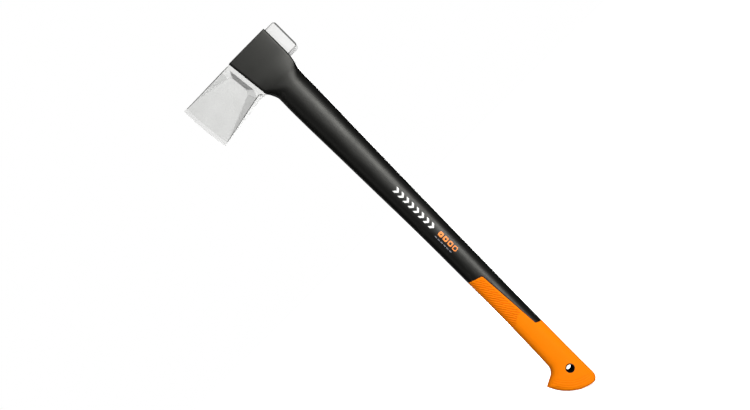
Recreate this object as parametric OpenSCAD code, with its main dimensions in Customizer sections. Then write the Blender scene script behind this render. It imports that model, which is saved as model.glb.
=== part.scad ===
// Splitting axe: a forged wedge head, a hollow composite handle moulded round it and a soft grip.
// The origin is the centre of the hang hole. +Z runs up the handle to the head, -X points to the
// cutting edge and +X to the poll. The axe is symmetric about the plane Y = 0.

/* [Head] */
// Height of the blade's top edge above the hang hole
head_top = 728; // [722:1:734]
// Length of the cutting edge
edge_len = 85.8; // [82:0.2:90]
// Lean of the cutting edge from the handle's direction, in degrees
edge_lean = 6.35; // [5:0.05:7.5]
// Distance from the ends of the cutting edge's arc to the handle's front face, nearly
blade_len = 103.2; // [98:0.2:106]
// Half thickness of the blade where it meets the handle
band_half = 24; // [22:0.5:25]
// Width of the plain band beside the handle
band_w = 6.9; // [4:0.1:8]
// Width of the ground bevel along the cutting edge
bevel_w = 6.5; // [4:0.5:9]
// Half thickness of the blade at the back of the bevel
bevel_half = 1.9; // [1.4:0.1:2.4]
// Half thickness at the deep end of the hollow in each cheek
cheek_half = 12; // [10:0.5:15]
// Width of the steep end wall of that hollow
ramp_w = 6.7; // [5:0.1:9]
// How far the poll stands out behind the handle
poll_len = 20; // [14:0.5:24]
// Height of the poll
poll_h = 54; // [48:0.2:56]
// Half thickness of the poll
poll_half = 20; // [18:0.5:22]
// Half thickness of the steel inside the handle
waist_half = 9.5; // [8:0.5:12]

/* [Handle] */
// Place of the handle's back face at the head
wrap_back = 37.4; // [36:0.2:39]
// Rise of the handle's top face towards the poll, in degrees
top_rise = 0.5; // [0:0.1:2]
// Wall between the outside of the handle and its hollow
wall = 3.8; // [3:0.2:6]
// Radius of the hang hole
hole_r = 5.5; // [4:0.1:6]
// Radius of the boss that the hang hole runs through
boss_r = 7.6; // [7:0.1:9]

/* [Butt] */
// Radius of the end face, seen from the side
end_r = 75.8; // [74:0.2:78]
// Radius of the corner between the end face and the back
corner_r = 11; // [9:0.5:13]
// Radius of the hollow curve under the hook
hook_r = 18; // [16:0.5:20]
// Angle that this curve turns through, in degrees
hook_turn = 63; // [58:1:68]

/* [Grip] */
// Thickness of the soft layer
grip_t = 2.5; // [2:0.1:3]
// Height of the grip's top edge at the front
grip_top = 211; // [197:1:227]
// Height at which the grip closes round the back
grip_close = 85; // [67:1:97]

/* [Plug] */
// Radius of the plug that closes the hollow
plug_r = 4.5; // [3.5:0.5:5]
// Length of the plug
plug_len = 12; // [8:1:16]

/* [Hidden] */
$fn = 48;
far = 120;                       // longer than any cut through the handle is wide
ring_points = 32;                // points round one section of the handle

// Blade, in its own directions: s runs from the cutting edge to the handle, t along the edge. The edge
// bows out in front of s = 0
heel = [-137, head_top - 84.9];  // place of the lower end of the cutting edge
rim_s = blade_len - band_w;
floor_s = rim_s - ramp_w;
edge_half = 0.25;                // half of the flat that is left on the cutting edge
edge_bow = 3.5;                  // how far the edge's arc comes out in front of s = 0,
edge_mid = 36;                   // the place along it where it comes out furthest,
edge_r = 424;                    // and its radius
edge_n = 8;                      // straight pieces that the arc is made of
top_drop = 13.3;                 // how far the top edge closes in on its way to the handle
foot_start = -0.4;               // place of the bottom edge at s = 0
foot_rise = 4.9;                 // and at the band
foot_end = 1.9;                  // and at the handle
foot_knees = [rim_s - 1, rim_s + 2.6];  // where it turns down at the band, and where it levels out
band_taper = 0.4;                // how much thinner each side of the band is at its front
apex_foot = 8;                   // where the hollow's side walls start, on the bottom and top edges
apex_top = 13;
shoulder_s = 88;                 // where the top and bottom edges reach the band's thickness
rim_low = 16;                    // ends of the hollow's steep end wall along the band
rim_high = 65.2;
// Ends of the hollow's flat floor towards the handle, from the bottom to the top
FLOOR_END = [[floor_s - 4.4, 21.2], [floor_s, 27.8], [floor_s, 56.5], [floor_s - 6.2, 62.8]];

// Steel inside the handle, and the poll
poll_top = head_top - 1.4;
poll_root = 8;                   // length of the poll inside the handle
poll_r = 5.5;                    // radius of its corners, seen from the side
waist_size = [78, 50];
waist_r = 4;
waist_foot = head_top - 60;
waist_front = wrap_back - 82;
key_r = 10;                      // holes through the waist, filled by the composite
KEY_X = [wrap_back - 55, wrap_back - 24];

// Handle outline from the side
end_mid = [23.3, 30];            // centre of the end face's radius
hook_top = 25.8;                 // height at which the hook starts to flare
front_low = -22;                 // front of the handle at that height
back_low = 22.5;                 // back of the handle at that height
hook_mid = [front_low - hook_r, hook_top];
corner_mid = [back_low - corner_r,
              end_mid[1] - sqrt(pow(end_r - corner_r, 2) - pow(end_mid[0] - back_low + corner_r, 2))];
butt_half = 16;                  // half thickness of the butt
butt_square = 2.8;               // squareness of its sections, where 2 is an oval
end_turn = 27;                   // slope of the end face down towards the back, in degrees
end_round = 8;                   // rounding of the end face's sides
fan_arc = 0.75;                  // share of the fan of sections that turns round the hook's curve
duct_x = 12.5;                   // place of the passage from the hollow to the butt, behind the hang hole

// Edge of the grip from the side, from the front to the back, and its slopes, in degrees, where it
// runs on across the front and the back
GRIP_EDGE = [[-16.6, grip_top], [4.4, grip_top - 8], [12.2, grip_close + 5], [22, grip_close]];
front_slope = 20;
back_slope = 26;
grip_corner_r = 3;
core_top = grip_top + 60;        // the part under the grip runs on this far inside the handle

// Stations up the handle: height, front, back, half thickness, squareness of the section
neck_z = head_top - 95;
top_round = 1.8;                 // rounding of the handle's top edge
SHAFT = [
    [hook_top, front_low, back_low, butt_half, butt_square],
    [52, -21, 22.7, 15.7, 2.6],
    [137, -19.3, 23.5, 15.2, 2.4],
    [267, -19.1, 25.1, 15, 2.3],
    [487, -22.6, 29, 15.8, 2.3],
    [neck_z - 26, -24.8, 31.6, 17, 2.3],
    [neck_z, -24.4, 31.9, 18.2, 2.4],
    [neck_z + 14, -29, 32.8, 20.2, 2.9],
    [neck_z + 26.5, -36.2, 35.6, 22.8, 4.5],
    [neck_z + 40, -44, 37.2, 24.6, 8],
    [neck_z + 52, -47, wrap_back, 25.2, 11],
    [head_top + 2, -48, wrap_back, 25.5, 12]
];

function lerp(a, b, t) = a + (b - a) * t;
function clamp(v) = min(1, max(0, v));

// Value k of the stations at height z, on a curve that keeps to the trend between them
function pace(i, k) = (SHAFT[i + 1][k] - SHAFT[i][k]) / (SHAFT[i + 1][0] - SHAFT[i][0]);
function tangent(i, k) =
    i == 0 ? pace(0, k) :
    i == len(SHAFT) - 1 ? pace(i - 1, k) :
    pace(i - 1, k) * pace(i, k) <= 0 ? 0 :
    2 * pace(i - 1, k) * pace(i, k) / (pace(i - 1, k) + pace(i, k));
function span(z, i = 0) = (i >= len(SHAFT) - 2 || z <= SHAFT[i + 1][0]) ? i : span(z, i + 1);
function curve(p0, p1, m0, m1, t) =
    p0 * (2 * t * t * t - 3 * t * t + 1) + m0 * (t * t * t - 2 * t * t + t)
    + p1 * (3 * t * t - 2 * t * t * t) + m1 * (t * t * t - t * t);
function at(z, k) =
    let (i = span(z), h = SHAFT[i + 1][0] - SHAFT[i][0])
    curve(SHAFT[i][k], SHAFT[i + 1][k], tangent(i, k) * h, tangent(i + 1, k) * h,
          clamp((z - SHAFT[i][0]) / h));

// A section of the handle is its front point, its back point, its half thickness and its squareness.
// Every section can be taken inside the surface, moved inwards by d.
function level(z, d) = [[at(z, 1) + d, z], [at(z, 2) - d, z], at(z, 3) - d, at(z, 4)];
function level_top(d, drop) =
    [[at(head_top, 1) + d, head_top - drop],
     [at(head_top, 2) - d, head_top - drop + (wrap_back - at(head_top, 1)) * tan(top_rise)],
     at(head_top, 3) - d, at(head_top, 4)];

// Butt: directions along and out of the end face, and points given in them from end_mid
end_along = [cos(end_turn), -sin(end_turn)];
end_out = [-sin(end_turn), -cos(end_turn)];
function out_point(along, out) = end_mid + along * end_along + out * end_out;
function hook_arc(turn, d) = hook_mid + (hook_r + d) * [cos(turn), -sin(turn)];
function hook_tip(d) =
    let (from = hook_arc(hook_turn, d) - end_mid, way = [-sin(hook_turn), -cos(hook_turn)], b = way * from)
    end_mid + from + way * (sqrt(b * b - from * from + pow(end_r - d, 2)) - b);

// From the level of the hook's start, f = 0, the sections fan round to the tip, f = 1
function fan(f, d) =
    [f < fan_arc ? hook_arc(hook_turn * f / fan_arc, d)
                 : lerp(hook_arc(hook_turn, d), hook_tip(d), (f - fan_arc) / (1 - fan_arc)),
     [back_low - d, lerp(hook_top, corner_mid[1], f)], butt_half - d, butt_square];
// Past the tip, f = 0, they run parallel to the end face and close in on it, f = 1
function end_level(f, d) =
    let (r = end_r - d,
         corner = [end_along * (corner_mid - end_mid), end_out * (corner_mid - end_mid)],
         out = lerp(end_out * (hook_tip(d) - end_mid), r, f),
         touch = corner[1] * r / (r - corner_r + d),
         along = out > touch ? sqrt(r * r - out * out)
                             : corner[0] + sqrt(max(0, pow(corner_r - d, 2) - pow(out - corner[1], 2))),
         sink = clamp((out - end_r + end_round) / end_round))
    [out_point(-sqrt(r * r - out * out), out), out_point(along, out),
     butt_half - d - end_round * (1 - sqrt(1 - sink * sink)), butt_square];

function butt(d) = concat(
    [for (a = [84:-9.5:6]) end_level(sin(a), d)],
    [for (f = [1:-0.125:0.1]) fan(f, d)]);
SHAFT_HEIGHTS = [for (i = [0:len(SHAFT) - 2])
    let (steps = SHAFT[i + 1][0] - SHAFT[i][0] > 30 ? 4 : 2)
    for (j = [0:steps - 1]) lerp(SHAFT[i][0], SHAFT[i + 1][0], j / steps)];
function shaft(d, low, high) = [for (z = SHAFT_HEIGHTS) if (z > low && z < high) level(z, d)];

// Points round one section: a rounded form that ranges from an oval to nearly a rectangle
function ring(section) =
    let (mid = (section[0] + section[1]) / 2, arm = (section[1] - section[0]) / 2, p = 2 / section[3])
    [for (i = [0:ring_points - 1])
        let (turn = 360 * (i + 0.5) / ring_points, c = cos(turn), s = sin(turn),
             xz = mid + arm * sign(c) * pow(abs(c), p))
        [xz[0], section[2] * sign(s) * pow(abs(s), p), xz[1]]];

// Solid through a list of sections
module loft(sections) {
    n = ring_points;
    last = len(sections) - 1;
    polyhedron(
        points = [for (s = sections) each ring(s)],
        faces = concat(
            [[for (i = [0:n - 1]) i]],
            [for (k = [0:last - 1]) for (i = [0:n - 1])
                each [[k * n + i, (k + 1) * n + i, (k + 1) * n + (i + 1) % n],
                      [k * n + i, (k + 1) * n + (i + 1) % n, k * n + (i + 1) % n]]],
            [[for (i = [n - 1:-1:0]) last * n + i]]));
}

// Outside of the handle and grip together
module outside() {
    loft(concat(
        butt(0), shaft(0, hook_top - 1, head_top - 30),
        [for (a = [0, 45, 90]) level_top(top_round * (1 - cos(a)), top_round * (1 - sin(a)))]));
}

// Composite under the soft layer
module core() {
    loft(concat(butt(grip_t), shaft(grip_t, hook_top - 1, core_top)));
}

// Hollow down the middle of the handle, closing in at both ends, and the passage to the butt
module channel() {
    low = hook_top + 2;
    high = neck_z + 18;
    closing = 8;                 // length over which each end closes in, and how far it closes
    loft(concat(
        [level(low, wall + closing), level(low + closing / 3, wall + closing / 3)],
        shaft(wall, low + closing, high - closing),
        [level(high - closing, wall), level(high - closing / 3, wall + closing / 3),
         level(high, wall + closing)]));
    translate([duct_x, 0, -far / 2]) cylinder(r = plug_r, h = far / 2 + low + closing);
}

// Side view of everything the grip covers: its edge, closed by points well outside the handle
module grip_region() {
    rotate([90, 0, 0])
        linear_extrude(far, center = true)
            offset(grip_corner_r) offset(-2 * grip_corner_r) offset(grip_corner_r)
                polygon(concat([[-far, -far], GRIP_EDGE[0] + far * [-1, tan(front_slope)]], GRIP_EDGE,
                               [GRIP_EDGE[3] + far * [1, -tan(back_slope)], [far, -far]]));
}

// Cylinder across the handle, round the hang hole's axis
module across(r) {
    rotate([90, 0, 0]) cylinder(r = r, h = far, center = true);
}

// Places a point of the blade that is given in the blade's own directions
function place(s, t, y) =
    [heel[0] + s * cos(edge_lean) - t * sin(edge_lean), y,
     heel[1] + s * sin(edge_lean) + t * cos(edge_lean)];
function blade_top(s) = edge_len - top_drop * s / blade_len;
function blade_foot(s) = lerp(foot_start, foot_rise, s / foot_knees[0]);  // up to the first knee
function edge_s(t) = edge_r - edge_bow - sqrt(pow(edge_r, 2) - pow(t - edge_mid, 2));
function edge_t(i) = lerp(foot_start, edge_len, i / edge_n);
function floor_y(s) = lerp(bevel_half, cheek_half, (s - bevel_w) / (floor_s - bevel_w));
function band_y(s) = band_half - band_taper * (blade_len - s) / band_w;

// Point i of the line along the back of the bevel; its ends lie on the blade's bottom and top edges
function bevel_back(i) =
    let (s = edge_s(edge_t(i)) + bevel_w)
    [s, i == 0 ? blade_foot(s) : i == edge_n ? blade_top(s) : edge_t(i), floor_y(s)];

// One cheek of the blade, from the cutting edge to the handle; y_side is 1 or -1
function cheek(y_side) =
    [for (i = [0:edge_n]) place(edge_s(edge_t(i)), edge_t(i), y_side * edge_half),
     for (i = [0:edge_n]) let (p = bevel_back(i)) place(p[0], p[1], y_side * p[2]),
     place(apex_foot, blade_foot(apex_foot), y_side * floor_y(apex_foot)),
     place(apex_top, blade_top(apex_top), y_side * floor_y(apex_top)),
     for (p = FLOOR_END) place(p[0], p[1], y_side * floor_y(p[0])),
     place(shoulder_s, blade_foot(shoulder_s), y_side * band_y(shoulder_s)),
     place(rim_s, rim_low, y_side * band_y(rim_s)),
     place(rim_s, rim_high, y_side * band_y(rim_s)),
     place(shoulder_s, blade_top(shoulder_s), y_side * band_y(shoulder_s)),
     place(foot_knees[0], foot_rise, y_side * band_y(foot_knees[0])),
     place(foot_knees[1], foot_end, y_side * band_y(foot_knees[1])),
     place(blade_len, foot_end, y_side * band_half),
     place(blade_len, blade_top(blade_len), y_side * band_half)];

// The cheek's faces are the bevel, the hollow's floor, its two side walls, its end wall with a corner
// of two triangles at each end, and the band
module blade() {
    b = edge_n + 1;              // first point of the line behind the bevel
    h = 2 * b;                   // first point of the hollow
    n = h + 14;                  // points in one cheek
    facets = concat(
        [for (i = [0:edge_n - 1]) [i, b + i, b + i + 1]],
        [for (i = [0:edge_n - 1]) [i, b + i + 1, i + 1]],
        [concat([b, h, h + 2, h + 3, h + 4, h + 5, h + 1], [for (i = [edge_n:-1:1]) b + i])],
        [for (f = [[0, 6, 2], [1, 5, 9], [3, 7, 8, 4], [3, 2, 7], [2, 6, 7], [5, 4, 8], [5, 8, 9],
                   [6, 10, 11, 12, 13, 9, 8, 7]]) [for (p = f) h + p]]);
    top = [edge_n, b + edge_n, h + 1, h + 9, h + 13];  // outline of the blade along its top edge
    foot = [0, b, h, h + 6, h + 10, h + 11, h + 12];   // and along its bottom edge
    polyhedron(
        points = concat(cheek(-1), cheek(1)),
        faces = concat(
            [for (f = facets) [for (i = [len(f) - 1:-1:0]) f[i]]],
            [for (f = facets) [for (p = f) p + n]],
            [for (i = [0:len(top) - 2]) [top[i], top[i + 1], top[i + 1] + n, top[i] + n]],
            [for (i = [0:len(foot) - 2]) [foot[i] + n, foot[i + 1] + n, foot[i + 1], foot[i]]],
            [for (i = [0:edge_n - 1]) [i, i + 1, i + 1 + n, i + n]],
            [[h + 13, h + 12, h + 12 + n, h + 13 + n]]));
}

// Flat plate between y = -t and y = t, with a rounded side outline
module slab(size, r, t) {
    rotate([90, 0, 0])
        linear_extrude(2 * t, center = true) {
            translate([r, 0]) square([size[0] - 2 * r, size[1]]);
            translate([0, r]) square([size[0], size[1] - 2 * r]);
            for (x = [r, size[0] - r], y = [r, size[1] - r]) translate([x, y]) circle(r);
        }
}

// Steel inside the handle, with two holes that the composite runs through
module waist() {
    difference() {
        translate([waist_front, 0, waist_foot]) slab(waist_size, waist_r, waist_half);
        for (x = KEY_X) translate([x, 0, waist_foot + waist_size[1] / 2]) across(key_r);
    }
}

// The poll starts inside the handle, where it meets the waist
module poll() {
    translate([wrap_back - poll_root, 0, poll_top - poll_h])
        slab([poll_len + poll_root, poll_h], poll_r, poll_half);
}

module axe_head() {
    color([0.86, 0.87, 0.86]) {
        blade();
        waist();
        poll();
    }
}

module handle() {
    color([0.14, 0.14, 0.14])
        difference() {
            union() {
                difference() {
                    union() {
                        difference() {
                            outside();
                            grip_region();
                        }
                        core();
                    }
                    channel();
                    waist();
                    poll();
                    translate(place(blade_len - far, 0, 0))
                        rotate([0, -edge_lean, 0])
                            translate([0, -far / 2, -far / 2]) cube([far, far, 2 * far]);
                }
                intersection() {
                    outside();
                    across(boss_r);
                }
            }
            across(hole_r);
        }
}

module grip() {
    color([1, 0.5, 0.05])
        difference() {
            intersection() {
                outside();
                grip_region();
            }
            core();
            across(boss_r);
        }
}

module channel_plug() {
    color([0.25, 0.25, 0.25])
        intersection() {
            core();
            translate([duct_x, 0, corner_mid[1] - corner_r])
                cylinder(r = plug_r, h = grip_t + plug_len);
        }
}

axe_head();
handle();
grip();
channel_plug();
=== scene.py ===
"""Looks of the splitting axe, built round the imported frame.

Sizes are in millimetres in the frame's axes: the origin is the hang hole's centre, +Z runs up to the
head, -X points to the cutting edge. make_mesh() turns them into metres.
"""

import math

import bmesh
import bpy
import numpy as np
from mathutils import Matrix, Vector
from mathutils.geometry import delaunay_2d_cdt


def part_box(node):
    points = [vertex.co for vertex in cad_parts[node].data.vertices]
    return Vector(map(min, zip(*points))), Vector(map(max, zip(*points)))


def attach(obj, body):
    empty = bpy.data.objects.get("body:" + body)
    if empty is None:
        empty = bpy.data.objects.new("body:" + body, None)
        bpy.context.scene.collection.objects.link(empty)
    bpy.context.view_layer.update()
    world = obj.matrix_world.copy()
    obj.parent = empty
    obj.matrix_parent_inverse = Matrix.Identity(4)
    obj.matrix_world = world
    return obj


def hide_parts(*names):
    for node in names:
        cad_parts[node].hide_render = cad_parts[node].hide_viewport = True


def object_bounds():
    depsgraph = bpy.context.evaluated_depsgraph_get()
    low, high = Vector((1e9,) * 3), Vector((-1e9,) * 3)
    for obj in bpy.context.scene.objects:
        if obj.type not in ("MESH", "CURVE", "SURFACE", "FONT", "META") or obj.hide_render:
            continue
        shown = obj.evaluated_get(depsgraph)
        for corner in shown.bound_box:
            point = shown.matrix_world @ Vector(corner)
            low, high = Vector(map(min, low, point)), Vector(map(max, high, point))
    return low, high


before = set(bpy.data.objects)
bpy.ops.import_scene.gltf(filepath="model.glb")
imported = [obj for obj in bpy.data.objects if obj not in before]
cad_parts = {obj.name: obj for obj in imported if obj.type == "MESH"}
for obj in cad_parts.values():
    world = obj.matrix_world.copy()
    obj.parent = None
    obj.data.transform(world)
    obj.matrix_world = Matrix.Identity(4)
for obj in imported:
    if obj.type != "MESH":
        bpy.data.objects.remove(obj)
CAD_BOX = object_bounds()
MM = 0.001


def box_mm(node):
    """Lowest and highest corner of a CAD node, in millimetres."""
    low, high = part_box(node)
    return np.array(low) / MM, np.array(high) / MM


# ---- sizes of the handle and grip

TOP_SLOPE = math.tan(math.radians(0.5))  # the handle's top rises a little towards the poll
POLL_LEN, POLL_H, POLL_DROP = 20.0, 54.0, 1.4
POLL_HALF, POLL_R, POLL_BEVEL = 20.0, 5.5, 2.2
POLL_BACK = box_mm("axe_head")[1][0]
WRAP_BACK = POLL_BACK - POLL_LEN
WRAP_FRONT = -47.8  # front of the handle's top
HEAD_TOP = box_mm("handle")[1][2] - (WRAP_BACK - WRAP_FRONT) * TOP_SLOPE
NECK = HEAD_TOP - 95.0
TOP_ROUND = 1.2

HOOK_TOP = 25.8  # height where the front starts to curve out into the hook
FRONT_LOW, BACK_LOW = -22.0, 22.5  # front and back of the handle there
HOOK_R, HOOK_TURN = 18.0, math.radians(63)
END_MID, END_R = np.array([23.3, 30.0]), 75.8  # arc of the end face, its centre as (x, z)
CORNER_R = 11.0  # rounding between the end face and the back
BUTT_HALF, BUTT_SQUARE = 16.0, 2.8
END_TURN, END_ROUND = math.radians(27), 8.0

# Stations up the handle: height, front, back, half thickness, squareness (2 is an oval)
STATIONS = np.array(
    [
        [HOOK_TOP, FRONT_LOW, BACK_LOW, BUTT_HALF, BUTT_SQUARE],
        [52, -21.0, 22.7, 15.7, 2.6],
        [137, -19.3, 23.5, 15.2, 2.4],
        [267, -19.1, 25.1, 15.0, 2.3],
        [487, -22.6, 29.0, 15.8, 2.3],
        [NECK - 26, -24.8, 31.6, 17.0, 2.3],
        [NECK, -24.4, 31.9, 18.2, 2.4],
        [NECK + 14, -29.0, 32.8, 20.2, 2.9],
        [NECK + 26.5, -36.2, 35.6, 22.8, 4.5],
        [NECK + 40, -44.0, 37.2, 24.6, 8.0],
        [NECK + 52, -47.0, WRAP_BACK, 25.2, 11.0],
        [HEAD_TOP + 2, -48.0, WRAP_BACK, 25.4, 12.0],
    ]
)

GRIP_TOP, GRIP_CLOSE = 210.7, 85.0  # height of the grip's edge at the front and at the back
GRIP_T = 2.5
HOLE_R, BOSS_R = 5.5, 7.5

COLUMNS = 48  # faces round half of the handle, from the front seam to the back seam
FINE = 10  # finer steps of the surface table in each of those
HOLE_POINTS = 64  # points round the hang hole


def blend(a, b, t):
    return a + (b - a) * t


def smooth(t):
    t = np.clip(t, 0.0, 1.0)
    return t * t * (3 - 2 * t)


def together(*coordinates):
    """Points from their coordinates."""
    return np.stack(np.broadcast_arrays(*coordinates), axis=-1)


def smooth_max(a, b, k):
    """The larger of a and b, with a fillet where they are within k of each other."""
    return np.maximum(a, b) + np.maximum(k - np.abs(a - b), 0.0) ** 2 / (4 * k)


def looped(path):
    """The path with its first point again at its end."""
    return np.concatenate([path, path[:1]])


def curve_through(places, values, at):
    """A curve through the stations that keeps to the trend between them."""
    gap = np.diff(places)
    pace = np.diff(values) / gap
    slope = np.zeros(len(values))
    slope[0], slope[-1] = pace[0], pace[-1]
    same = pace[:-1] * pace[1:] > 0
    total = np.where(same, pace[:-1] + pace[1:], 1.0)
    slope[1:-1] = np.where(same, 2 * pace[:-1] * pace[1:] / total, 0.0)
    i = int(np.clip(np.searchsorted(places, at) - 1, 0, len(gap) - 1))
    t = (at - places[i]) / gap[i]
    return (
        values[i] * (2 * t**3 - 3 * t**2 + 1)
        + slope[i] * gap[i] * (t**3 - 2 * t**2 + t)
        + values[i + 1] * (3 * t**2 - 2 * t**3)
        + slope[i + 1] * gap[i] * (t**3 - t**2)
    )


# ---- blade directions

EDGE_LEAN = math.radians(6.35)
EDGE_LEN = 85.8
BLADE_LEN = 103.2  # from s = 0, near the ends of the edge's arc, to the handle
HEEL = np.array([-137.0, HEAD_TOP - 84.9])
HEEL_M = (HEEL[0] * MM, 0, HEEL[1] * MM)
ALONG_S = np.array([math.cos(EDGE_LEAN), math.sin(EDGE_LEAN)])
ALONG_T = np.array([-math.sin(EDGE_LEAN), math.cos(EDGE_LEAN)])


def place(s, t, y):
    """Point s towards the handle, t up along the cutting edge and y to the side."""
    x = HEEL[0] + s * ALONG_S[0] + t * ALONG_T[0]
    z = HEEL[1] + s * ALONG_S[1] + t * ALONG_T[1]
    return together(x, y, z)


def wrap_face(z):
    """Place of the handle's flat front face, where the blade comes out, at height z."""
    return HEEL[0] + (BLADE_LEN - (z - HEEL[1]) * ALONG_S[1]) / ALONG_S[0]


# ---- sections of the handle

CORNER_MID = np.array(
    [
        BACK_LOW - CORNER_R,
        END_MID[1] - math.sqrt((END_R - CORNER_R) ** 2 - (END_MID[0] - BACK_LOW + CORNER_R) ** 2),
    ]
)
END_ALONG = np.array([math.cos(END_TURN), -math.sin(END_TURN)])
END_OUT = np.array([-math.sin(END_TURN), -math.cos(END_TURN)])
HOOK_MID = np.array([FRONT_LOW - HOOK_R, HOOK_TOP])
HOOK_END = HOOK_MID + HOOK_R * np.array([math.cos(HOOK_TURN), -math.sin(HOOK_TURN)])


def hook_tip():
    """Where the straight end of the hook meets the arc of the end face."""
    way = np.array([-math.sin(HOOK_TURN), -math.cos(HOOK_TURN)])
    start = HOOK_END - END_MID
    along = way @ start
    return HOOK_END + way * (math.sqrt(along**2 - start @ start + END_R**2) - along)


TIP = hook_tip()
FAN_LOW = -43.0  # surface height p at the hook's tip; below it the end face closes in
END_LOW = FAN_LOW - 20.0
FAN_ARC = 0.75  # share of the fan that turns round the hook's hollow curve


def shaft_section(z):
    front, back, half, square = (curve_through(STATIONS[:, 0], STATIONS[:, k], z) for k in (1, 2, 3, 4))
    tilt = TOP_SLOPE * float(smooth((z - NECK - 50) / 40))
    if z > NECK + 10:
        front = float(smooth_max(front, wrap_face(z), 1.6))
    return np.array([front, z]), np.array([back, z + (back - front) * tilt]), half, square


def fan_section(f):
    """Section that swings from the hook's start, f = 0, to its tip, f = 1."""
    if f < FAN_ARC:
        turn = HOOK_TURN * f / FAN_ARC
        front = HOOK_MID + HOOK_R * np.array([math.cos(turn), -math.sin(turn)])
    else:
        front = blend(HOOK_END, TIP, (f - FAN_ARC) / (1 - FAN_ARC))
    return front, np.array([BACK_LOW, blend(HOOK_TOP, CORNER_MID[1], f)]), BUTT_HALF, BUTT_SQUARE


def end_section(f):
    """Section parallel to the end face, from the hook's tip, f = 0, to the end, f = 1."""
    corner = np.array([END_ALONG @ (CORNER_MID - END_MID), END_OUT @ (CORNER_MID - END_MID)])
    out = blend(END_OUT @ (TIP - END_MID), END_R, f)
    reach = math.sqrt(END_R**2 - out**2)
    back = reach
    if out < corner[1] * END_R / (END_R - CORNER_R):
        back = corner[0] + math.sqrt(max(0.0, CORNER_R**2 - (out - corner[1]) ** 2))
    sink = min(1.0, max(0.0, (out - END_R + END_ROUND) / END_ROUND))
    half = BUTT_HALF - END_ROUND * (1 - math.sqrt(1 - sink**2))
    base = END_MID + out * END_OUT
    return base - reach * END_ALONG, base + back * END_ALONG, half, BUTT_SQUARE


def section(p):
    """Front point, back point, half thickness and squareness at surface height p."""
    if p >= HOOK_TOP:
        return shaft_section(p)
    if p >= FAN_LOW:
        return fan_section((HOOK_TOP - p) / (HOOK_TOP - FAN_LOW))
    return end_section(math.sin(min(1.0, (FAN_LOW - p) / (FAN_LOW - END_LOW)) * math.radians(86)))


def oval(arm, half, square):
    """Half of a rounded section, from front to back, in points evenly spaced along it."""
    turn = np.linspace(0, math.pi, 4001)
    c = -np.sign(np.cos(turn)) * np.abs(np.cos(turn)) ** (2 / square)
    s = np.abs(np.sin(turn)) ** (2 / square)
    length = np.concatenate([[0], np.cumsum(np.hypot(np.diff(c * arm), np.diff(s * half)))])
    even = np.linspace(0, length[-1], COLUMNS * FINE + 1)
    return together(np.interp(even, length, c) * arm, np.interp(even, length, s) * half)


def wrap_outline(arm, half, front_drop, back_drop):
    """Half of the section round the head.

    It has a flat front, a bevelled border, a side that closes in a little towards its front and back,
    and a flat back.
    """
    border, front_r, back_r, bevel = 3.0, 1.2, 2.4, 0.5
    near, far = half - front_drop, half - back_drop
    low = near - bevel  # half thickness at the front face; near and far are those at the side's ends
    support = 0.015  # share of the side that one narrow face beside the border takes

    def arc(mid, r, start, end, count):
        turn = np.radians(np.linspace(start, end, count * FINE + 1))
        return together(mid[0] + r * np.cos(turn), mid[1] + r * np.sin(turn))

    def line(a, b, count):
        t = np.linspace(0, 1, count * FINE + 1)[:, None]
        return np.array(a) * (1 - t) + np.array(b) * t

    def side(start, end, count):
        share = np.linspace(start, end, count * FINE + 1)
        closing = front_drop * (1 - share) ** 3 + back_drop * share**5
        return together(blend(border - arm, arm - back_r, share), half - closing)

    parts = [
        line((-arm, 0), (-arm, low - front_r), 8),
        arc((-arm + front_r, low - front_r), front_r, 180, 90, 4),
        line((-arm + front_r, low), (-arm + border, near), 4),
        side(0, support, 1),
        side(support, 1, 19),
        arc((arm - back_r, far - back_r), back_r, 90, 0, 6),
        line((arm, far - back_r), (arm, 0), 6),
    ]
    return np.concatenate([parts[0]] + [part[1:] for part in parts[1:]])


def half_ring(p, inset=0.0, rise=0.0):
    """Half of the outside at surface height p, on the side of -Y, as points from front to back."""
    front, back, half, square = section(p)
    arm = np.linalg.norm(back - front) / 2 - inset
    points = oval(arm, half - inset, min(square, 5.0))
    boxy = float(smooth((p - NECK) / 30))
    if boxy > 0:
        # How far the side closes in towards its front and its back, which is more just above the neck
        front_drop = 0.4 + 1.2 * float(1 - smooth((p - NECK - 15) / 30))
        back_drop = 0.6 + 2.2 * float(1 - smooth((p - NECK - 20) / 38))
        points = blend(points, wrap_outline(arm, half - inset, front_drop, back_drop), boxy)
    way = (back - front) / np.linalg.norm(back - front)
    mid = (front + back) / 2
    return together(mid[0] + points[:, 0] * way[0], -points[:, 1], mid[1] + points[:, 0] * way[1] + rise)


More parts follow.
